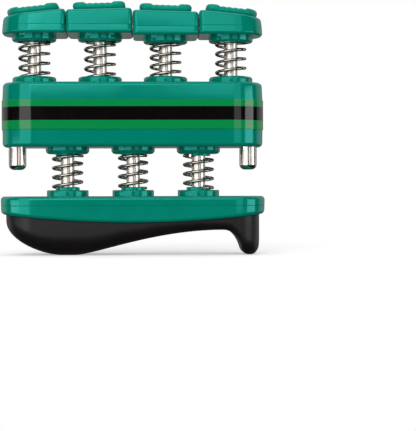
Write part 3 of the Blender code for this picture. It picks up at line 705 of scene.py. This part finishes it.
def button_form(number):
    """Plan box, pad box, height at the rod and slope of one button, about its rod axis."""
    low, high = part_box(f"finger_button_{number}")
    x = FINGER_X[number - 1]
    half = PAD_WIDTH / 2
    first = number == FINGERS[0]
    last = number == FINGERS[-1]
    side = 1 if number <= len(FINGERS) / 2 else -1
    corners = (BUTTON_END_CORNER if first else BUTTON_CORNER, BUTTON_END_CORNER if last else BUTTON_CORNER)
    pad_corners = (PAD_END_CORNER if first else PAD_CORNER, PAD_END_CORNER if last else PAD_CORNER)
    left = low.x - x - (0.0 if first else BUTTON_CLOSER)
    right = high.x - x + (0.0 if last else BUTTON_CLOSER)
    box = (left, right, high.y, *corners)
    pad = (-half, half, PAD_DEPTH / 2, *pad_corners)
    if first or last:
        return box, pad, BUTTON_OUTER_HEIGHT, side * math.radians(BUTTON_OUTER_SLOPE)
    return box, pad, BUTTON_INNER_HEIGHT, side * math.radians(BUTTON_INNER_SLOPE)


def top_box(box):
    """A button's plan box at its top, where the sides next to other buttons taper less."""
    x_low, x_high, half_depth, radius_low, radius_high = box
    ease = BUTTON_TOP_DRAFT - BUTTON_SIDE_DRAFT
    if radius_low == BUTTON_CORNER:
        x_low -= ease
    if radius_high == BUTTON_CORNER:
        x_high += ease
    return x_low, x_high, half_depth, radius_low, radius_high


def button_rings(box, bottom, deck, slope):
    """Rings of a button from its flat underside to its sloping top."""
    rings = []
    for inset, rise in fillet(BUTTON_LOW_ROUND):
        rings.append(plan_ring(box, inset, bottom + rise))
    for inset, height in reversed(groove(bottom + BUTTON_PARTING, BUTTON_PARTING_DEPTH)):
        rings.append(plan_ring(box, BUTTON_PARTING_DRAFT + inset, height))
    for inset, drop in reversed(fillet(BUTTON_TOP_ROUND)):
        outline = plan_outline(top_box(box), BUTTON_TOP_DRAFT + inset)
        rings.append([(x, y, deck + x * math.tan(slope) - drop) for x, y in outline])
    return rings


def pad_height(x):
    """Height of a pad's top: a wave of ribs between two raised ends."""
    ribs_half = PAD_RIB_COUNT * PAD_RIB_PITCH / 2
    if abs(x) < ribs_half:
        wave = 1 - math.cos(math.tau * (x + ribs_half) / PAD_RIB_PITCH)
        return PAD_RISE + PAD_RIB_HEIGHT * wave / 2
    share = min((abs(x) - ribs_half) / PAD_LIP_RAMP, 1.0)
    return PAD_RISE + PAD_LIP_RISE * (1 - math.cos(math.pi * share)) / 2


def pad_rings(box):
    """Rings of a flat-topped pad from its foot round its bulging edge."""
    middle_height = PAD_RISE - PAD_ROUND
    rings = []
    for angle in spread(math.radians(-PAD_TUCK), math.pi / 2, 2 * FILLET_STEPS):
        inset = PAD_ROUND * (1 - math.cos(angle))
        rings.append(plan_ring(box, inset, middle_height + PAD_ROUND * math.sin(angle)))
    tuck = PAD_ROUND * (1 - math.cos(math.radians(PAD_TUCK)))
    return [plan_ring(box, tuck, PRESS_GAP - PAD_RECESS), *rings]


def rib_pad(pad):
    """Cut a pad into strips and lift them into ribs and raised ends."""
    bm = bmesh.new()
    bm.from_mesh(pad.data)
    for x in spread(-PAD_WIDTH / 2, PAD_WIDTH / 2, PAD_CUTS)[1:-1]:
        cut = [*bm.verts, *bm.edges, *bm.faces]
        bmesh.ops.bisect_plane(
            bm, geom=cut, plane_co=(x, 0, 0), plane_no=(1, 0, 0), dist=PAD_CUT_TOLERANCE,
        )
    for vert in bm.verts:
        share = min(max(vert.co.z / (PAD_RISE - PAD_ROUND), 0.0), 1.0)
        vert.co.z += (pad_height(vert.co.x) - PAD_RISE) * share
    bm.to_mesh(pad.data)
    bm.free()
    return pad


def build_finger(number, material, pad_material):
    x = FINGER_X[number - 1]
    box, pad_box, height, slope = button_form(number)
    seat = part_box(f"finger_button_{number}")[0].z + SPIGOT_HEIGHT
    bottom = seat + BUTTON_FLANGE_HEIGHT
    deck = bottom + height
    tilt = Matrix.Translation((x, 0.0, deck)) @ Matrix.Rotation(-slope, 4, "Y")

    button = loft(f"finger_button_{number}_cap", button_rings(box, bottom, deck, slope))
    button.data.transform(Matrix.Translation((x, 0.0, 0.0)))
    recess = loft("recess", [plan_ring(pad_box, -PRESS_GAP, z) for z in (-PAD_RECESS, PAD_RISE)])
    recess.data.transform(tilt)
    profile = boss_profile(
        DOWN, BUTTON_FLANGE, seat, bottom + OVERSHOOT, SPIGOT_DIAMETER, bottom + 2 * OVERSHOOT,
    )
    boss = turned("boss", profile, x)
    low = seat - SPIGOT_HEIGHT - OVERSHOOT
    socket = bore("socket", ROD_DIAMETER + 2 * PRESS_GAP, low, bottom + BUTTON_SOCKET_DEPTH, x)
    flat_normals(dress(carve(button, [boss], [recess, socket]), f"finger_button_{number}", material))

    pad = rib_pad(loft(f"finger_pad_{number}_ribs", pad_rings(pad_box)))
    pad.data.transform(tilt)
    dress(pad, f"finger_pad_{number}", pad_material, PAD_SHARP_ANGLE)


# Range of a noise pattern that is mapped to two numbers or colours
PATTERN_LOW = 0.3
PATTERN_HIGH = 0.7


def map_range(tree, value, start, end, low=0.0, high=1.0, kind="LINEAR"):
    """Map a value that runs from start to end to one that runs from low to high."""
    node = tree.nodes.new("ShaderNodeMapRange")
    node.interpolation_type = kind
    for name, number in (("From Min", start), ("From Max", end), ("To Min", low), ("To Max", high)):
        node.inputs[name].default_value = number
    tree.links.new(value, node.inputs["Value"])
    return node.outputs["Result"]


def colour_ramp(tree, value, stops, kind="LINEAR"):
    """Map a value from 0 to 1 to the colours of a list of positions and colours."""
    node = tree.nodes.new("ShaderNodeValToRGB")
    node.color_ramp.interpolation = kind
    elements = node.color_ramp.elements
    elements.remove(elements[1])
    elements[0].position = stops[0][0]
    for position, _ in stops[1:]:
        elements.new(position)
    for element, (_, colour) in zip(elements, stops):
        element.color = (*colour, 1.0)
    tree.links.new(value, node.inputs["Fac"])
    return node.outputs["Color"]


def level_ramp(tree, component, stops):
    """Map one component of a direction, from -1 to 1, to the levels of a list of stops."""
    share = map_range(tree, component, -1.0, 1.0)
    return colour_ramp(tree, share, [(position, (level, level, level)) for position, level in stops])


def calculate(tree, operation, *values):
    """Work out one number from others."""
    node = tree.nodes.new("ShaderNodeMath")
    node.operation = operation
    for socket, value in zip(node.inputs, values):
        tree.links.new(value, socket)
    return node.outputs["Value"]


def white_light(tree, kind, strength=None):
    """White light from the world or a surface, of strength 1 or a strength that varies."""
    node = tree.nodes.new(kind)
    node.inputs["Color"].default_value = (1.0, 1.0, 1.0, 1.0)
    if strength is not None:
        tree.links.new(strength, node.inputs["Strength"])
    return node.outputs[0]


def mix_shaders(tree, share, first, second):
    node = tree.nodes.new("ShaderNodeMixShader")
    for socket, value in zip(node.inputs, (share, first, second)):
        tree.links.new(value, socket)
    return node.outputs["Shader"]


class Finish:
    """A Principled material with helpers for the patterns that vary over it."""

    def __init__(self, name, colour, roughness, metallic=0.0):
        self.material = bpy.data.materials.new(name)
        self.material.use_nodes = True
        self.tree = self.material.node_tree
        self.nodes = self.tree.nodes
        self.links = self.tree.links
        self.shader = self.nodes["Principled BSDF"]
        self.shader.inputs["Base Color"].default_value = (*colour, 1.0)
        self.shader.inputs["Roughness"].default_value = roughness
        self.shader.inputs["Metallic"].default_value = metallic

    def coordinates(self, stretch=(1.0, 1.0, 1.0)):
        source = self.nodes.new("ShaderNodeTexCoord")
        mapping = self.nodes.new("ShaderNodeMapping")
        mapping.inputs["Scale"].default_value = stretch
        self.links.new(source.outputs["Object"], mapping.inputs["Vector"])
        return mapping.outputs["Vector"]

    def noise(self, size, detail=2.0, stretch=(1.0, 1.0, 1.0)):
        """Noise whose blotches are about size metres across."""
        node = self.nodes.new("ShaderNodeTexNoise")
        node.inputs["Scale"].default_value = 1.0 / size
        node.inputs["Detail"].default_value = detail
        self.links.new(self.coordinates(stretch), node.inputs["Vector"])
        return node.outputs["Fac"]

    def between(self, value, low, high):
        """Map a pattern's middle range to two numbers."""
        return map_range(self.tree, value, PATTERN_LOW, PATTERN_HIGH, low, high)

    def blend(self, value, low, high):
        """Map a pattern's middle range to two colours."""
        return colour_ramp(self.tree, value, ((PATTERN_LOW, low), (PATTERN_HIGH, high)))

    def bump(self, value, depth, under=None):
        """Relief of a pattern, on top of any coarser one."""
        node = self.nodes.new("ShaderNodeBump")
        node.inputs["Distance"].default_value = depth
        self.links.new(value, node.inputs["Height"])
        if under is not None:
            self.links.new(under, node.inputs["Normal"])
        return node.outputs["Normal"]

    def colour(self, value):
        self.links.new(value, self.shader.inputs["Base Color"])

    def roughness(self, value):
        self.links.new(value, self.shader.inputs["Roughness"])

    def normal(self, value):
        self.links.new(value, self.shader.inputs["Normal"])


def shade(colour, factor):
    return tuple(channel * factor for channel in colour)


# Colours of the materials, and tints of their reflections
GREEN = (0.000, 0.216, 0.148)
GREEN_SHEEN = (0.110, 1.000, 0.920)
PAD_GREEN = (0.000, 0.250, 0.166)
FILM_GREEN = (0.002, 0.250, 0.062)
FILM_BLACK = (0.003, 0.0022, 0.0022)
RUBBER = (0.0080, 0.0065, 0.0066)
STEEL = (0.780, 0.715, 0.665)
WIRE = (0.560, 0.520, 0.470)
STEEL_EDGE = (0.200, 0.190, 0.180)

# Drawing lines of the steel: how far a pattern is squeezed along the rods
GRAIN_ROUGHNESS = (1.0, 1.0, 6.0)
GRAIN_RELIEF = (1.0, 1.0, 8.0)


def moulded_green():
    finish = Finish("green_plastic", GREEN, roughness=0.13)
    finish.shader.inputs["Specular IOR Level"].default_value = 0.9
    finish.shader.inputs["Specular Tint"].default_value = (*GREEN_SHEEN, 1.0)
    finish.colour(finish.blend(finish.noise(size=0.012), low=shade(GREEN, 0.96), high=shade(GREEN, 1.04)))
    finish.roughness(finish.between(finish.noise(size=0.006, detail=4.0), low=0.09, high=0.14))
    waves = finish.bump(finish.noise(size=0.009, detail=1.0), depth=0.000016)
    finish.normal(finish.bump(finish.noise(size=0.0004), depth=0.0000006, under=waves))
    return finish.material


def pad_green():
    finish = Finish("green_pad", PAD_GREEN, roughness=0.34)
    finish.shader.inputs["Specular Tint"].default_value = (*GREEN_SHEEN, 1.0)
    patches = finish.noise(size=0.010)
    finish.colour(finish.blend(patches, low=shade(PAD_GREEN, 0.95), high=shade(PAD_GREEN, 1.05)))
    finish.roughness(finish.between(finish.noise(size=0.004, detail=4.0), low=0.28, high=0.40))
    finish.normal(finish.bump(finish.noise(size=0.0005, detail=3.0), depth=0.000003))
    return finish.material


def printed_film():
    """A glossy film: a black stripe between two green ones."""
    finish = Finish("label_film", FILM_BLACK, roughness=0.08)
    split = finish.nodes.new("ShaderNodeSeparateXYZ")
    finish.links.new(finish.coordinates(), split.inputs["Vector"])
    low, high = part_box("label_band")
    span = high.z - low.z
    stops = (
        (0.0, FILM_GREEN),
        ((LABEL_STRIPE_LOW - low.z) / span, FILM_BLACK),
        ((LABEL_STRIPE_HIGH - low.z) / span, FILM_GREEN),
    )
    height = map_range(finish.tree, split.outputs["Z"], low.z, high.z)
    finish.colour(colour_ramp(finish.tree, height, stops, "CONSTANT"))
    finish.roughness(finish.between(finish.noise(size=0.005, detail=3.0), low=0.06, high=0.10))
    finish.normal(finish.bump(finish.noise(size=0.008, detail=1.0), depth=0.000006))
    return finish.material


def soft_rubber():
    finish = Finish("black_rubber", RUBBER, roughness=0.37)
    finish.shader.inputs["Specular IOR Level"].default_value = 0.36
    patches = finish.noise(size=0.008, detail=3.0)
    finish.colour(finish.blend(patches, low=shade(RUBBER, 0.85), high=shade(RUBBER, 1.15)))
    finish.roughness(finish.between(finish.noise(size=0.003, detail=4.0), low=0.32, high=0.42))
    finish.normal(finish.bump(finish.noise(size=0.00025), depth=0.000004))
    return finish.material


def bright_steel(name, smooth, rough):
    finish = Finish(name, STEEL, roughness=(smooth + rough) / 2, metallic=1.0)
    finish.shader.inputs["Specular Tint"].default_value = (*STEEL_EDGE, 1.0)
    patches = finish.noise(size=0.004, detail=3.0)
    finish.colour(finish.blend(patches, low=shade(STEEL, 0.93), high=shade(STEEL, 1.05)))
    grain = finish.noise(size=0.0008, detail=3.0, stretch=GRAIN_ROUGHNESS)
    finish.roughness(finish.between(grain, low=smooth, high=rough))
    finish.normal(finish.bump(finish.noise(size=0.0006, stretch=GRAIN_RELIEF), depth=0.0000012))
    return finish.material


def drawn_wire():
    finish = Finish("spring_steel", WIRE, roughness=0.20, metallic=1.0)
    finish.shader.inputs["Specular Tint"].default_value = (*STEEL_EDGE, 1.0)
    patches = finish.noise(size=0.003, detail=3.0)
    finish.colour(finish.blend(patches, low=shade(WIRE, 0.85), high=shade(WIRE, 1.08)))
    finish.roughness(finish.between(finish.noise(size=0.0005, detail=3.0), low=0.08, high=0.16))
    return finish.material


def build_pieces():
    green = moulded_green()
    pad = pad_green()
    wire = drawn_wire()
    build_base(green)
    build_grip(soft_rubber())
    build_rods(bright_steel("drawn_steel", smooth=0.24, rough=0.32))
    build_pins(bright_steel("bright_steel", smooth=0.12, rough=0.20))
    build_clips(wire)
    build_lower_case(green)
    build_upper_case(green)
    build_label(printed_film())
    for number in FINGERS:
        build_finger(number, green, pad)
    build_springs(wire)


def build_camera():
    """The photograph's viewpoint, turned so that the photograph's frame is the picture."""
    data = bpy.data.cameras.new("camera")
    data.sensor_width = SENSOR_MM
    data.lens = SENSOR_MM * PHOTO_FOCAL / PHOTO_HEIGHT
    data.clip_start = CLIP_START
    data.clip_end = CLIP_END
    camera = bpy.data.objects.new("camera", data)
    right = (PHOTO_WIDTH / 2 - PHOTO_CENTRE_X) / PHOTO_FOCAL
    down = (PHOTO_HEIGHT / 2 - PHOTO_CENTRE_Y) / PHOTO_FOCAL
    camera.location = (CAMERA_X, -CAMERA_DISTANCE, CAMERA_HEIGHT)
    aim = Vector((right, 1.0, -down)).to_track_quat("-Z", "Y")
    roll = Quaternion((0.0, 0.0, 1.0), math.radians(-PHOTO_ROLL))
    camera.rotation_euler = (aim @ roll).to_euler()
    bpy.context.scene.collection.objects.link(camera)
    bpy.context.scene.camera = camera


# Soft boxes: azimuth left to right from the camera's side and elevation, in degrees, and radiance
LIGHT_DISTANCE = 1.1
SOFT_BOXES = (
    ("left_strip", (-80.0, -48.0), (-8.0, -0.5), 3.2),
    ("left_box", (-50.0, -7.5), (-16.0, 50.0), 1.85),
    ("front_left_box", (-12.0, -1.5), (9.0, 42.0), 1.8),
    ("front_box", (-1.5, 1.5), (14.5, 42.0), 1.8),
    ("front_right_box", (1.5, 7.0), (8.0, 42.0), 1.6),
    ("right_box", (8.0, 33.5), (-6.0, 45.0), 1.0),
    ("right_strip", (49.0, 83.0), (-7.0, 9.3), 2.9),
)
TOP_BOX_SIZE = 0.9
TOP_BOX_HEIGHT = 1.0
TOP_BOX_RADIANCE = 1.3

# Even light from the room, below and above, and how far up and down it goes over from one to the other
FILL_LOW = 0.28
FILL_HIGH = 0.35
FILL_BLEND = 0.4

# What reflections show of the room, from the front to the back, and the share of it from below to above
ROOM_STOPS = ((0.00, 0.015), (0.58, 0.015), (0.67, 0.60), (0.84, 0.60), (0.95, 0.30), (1.00, 0.20))
BACK_STOPS = ((0.00, 0.10), (0.32, 0.10), (0.44, 1.00), (1.00, 1.00))

# Pale floor in reflections, from below to above, and where it ends at the back and is full in front
FLOOR_STOPS = ((0.00, 0.00), (0.28, 0.00), (0.36, 0.20), (0.46, 0.20), (0.49, 0.00))
FLOOR_FRONT = (0.1, -0.3)


def add_light(name, location, target, width, height, radiance):
    """A soft box that faces a target and is hidden from the camera."""
    data = bpy.data.lights.new(name, "AREA")
    data.shape = "RECTANGLE"
    data.size = width
    data.size_y = height
    data.energy = radiance * math.pi * width * height
    light = bpy.data.objects.new(name, data)
    light.location = location
    light.rotation_euler = (target - location).to_track_quat("-Z", "Y").to_euler()
    light.visible_camera = False
    bpy.context.scene.collection.objects.link(light)


def build_lights():
    target = Vector((0.0, 0.0, (CAD_BOX[0].z + CAD_BOX[1].z) / 2))
    for name, azimuths, elevations, radiance in SOFT_BOXES:
        azimuth = math.radians(sum(azimuths) / 2)
        elevation = math.radians(sum(elevations) / 2)
        way = Vector((
            math.sin(azimuth) * math.cos(elevation),
            -math.cos(azimuth) * math.cos(elevation),
            math.sin(elevation),
        ))
        width = 2 * LIGHT_DISTANCE * math.tan(math.radians(azimuths[1] - azimuths[0]) / 2)
        height = 2 * LIGHT_DISTANCE * math.tan(math.radians(elevations[1] - elevations[0]) / 2)
        add_light(name, target + way * LIGHT_DISTANCE, target, width, height, radiance)
    above = Vector((0.0, 0.0, TOP_BOX_HEIGHT))
    add_light("top_box", above, target, TOP_BOX_SIZE, TOP_BOX_SIZE, TOP_BOX_RADIANCE)


def build_world():
    """White to the camera, a dim room with a white backdrop in reflections, and an even fill otherwise."""
    world = bpy.data.worlds.new("studio")
    world.use_nodes = True
    bpy.context.scene.world = world
    tree = world.node_tree
    tree.nodes.clear()
    output = tree.nodes.new("ShaderNodeOutputWorld")
    path = tree.nodes.new("ShaderNodeLightPath")
    source = tree.nodes.new("ShaderNodeTexCoord")
    split = tree.nodes.new("ShaderNodeSeparateXYZ")
    tree.links.new(source.outputs["Generated"], split.inputs["Vector"])
    back = split.outputs["Y"]
    up = split.outputs["Z"]
    fill = map_range(tree, up, -FILL_BLEND, FILL_BLEND, FILL_LOW, FILL_HIGH, "SMOOTHSTEP")
    room = calculate(tree, "MULTIPLY", level_ramp(tree, back, ROOM_STOPS), level_ramp(tree, up, BACK_STOPS))
    in_front = map_range(tree, back, *FLOOR_FRONT)
    shown = calculate(tree, "MULTIPLY_ADD", level_ramp(tree, up, FLOOR_STOPS), in_front, room)
    reflected = calculate(tree, "MAXIMUM", path.outputs["Is Glossy Ray"], path.outputs["Is Transmission Ray"])
    around = mix_shaders(
        tree, reflected,
        white_light(tree, "ShaderNodeBackground", fill), white_light(tree, "ShaderNodeBackground", shown),
    )
    white = white_light(tree, "ShaderNodeBackground")
    surface = mix_shaders(tree, path.outputs["Is Camera Ray"], around, white)
    tree.links.new(surface, output.inputs["Surface"])


# Floor: radius, grey, glow that whitens it, and the distances over which it runs out
FLOOR_RADIUS = 6.0
FLOOR_COLOUR = (0.80, 0.80, 0.80)
FLOOR_GLOW = 0.40
FLOOR_FADE = (0.12, 0.30)


def build_floor():
    """A pale floor that keeps the shadow near the part and runs out into the white behind it."""
    bm = bmesh.new()
    bmesh.ops.create_circle(bm, cap_ends=True, segments=TURN_STEPS, radius=FLOOR_RADIUS)
    floor = mesh_object("floor", bm)
    finish = Finish("floor", FLOOR_COLOUR, roughness=1.0)
    finish.shader.inputs["Specular IOR Level"].default_value = 0.0
    floor.data.materials.append(finish.material)
    floor.visible_diffuse = False
    floor.visible_glossy = False
    floor.visible_shadow = False
    tree = finish.tree
    camera_ray = tree.nodes.new("ShaderNodeLightPath").outputs["Is Camera Ray"]
    source = tree.nodes.new("ShaderNodeTexCoord")
    distance = tree.nodes.new("ShaderNodeVectorMath")
    distance.operation = "LENGTH"
    tree.links.new(source.outputs["Object"], distance.inputs[0])
    fade = map_range(tree, distance.outputs["Value"], *FLOOR_FADE, kind="SMOOTHSTEP")
    glow = map_range(tree, camera_ray, 0.0, 1.0, 0.0, FLOOR_GLOW)
    near = tree.nodes.new("ShaderNodeAddShader")
    tree.links.new(finish.shader.outputs["BSDF"], near.inputs[0])
    tree.links.new(white_light(tree, "ShaderNodeEmission", glow), near.inputs[1])
    far = white_light(tree, "ShaderNodeEmission", camera_ray)
    gone = calculate(tree, "MULTIPLY", fade, camera_ray)
    surface = mix_shaders(tree, gone, near.outputs["Shader"], far)
    tree.links.new(surface, finish.nodes["Material Output"].inputs["Surface"])


bpy.context.scene.view_settings.view_transform = "Standard"
build_pieces()
build_camera()
build_lights()
build_world()
build_floor()
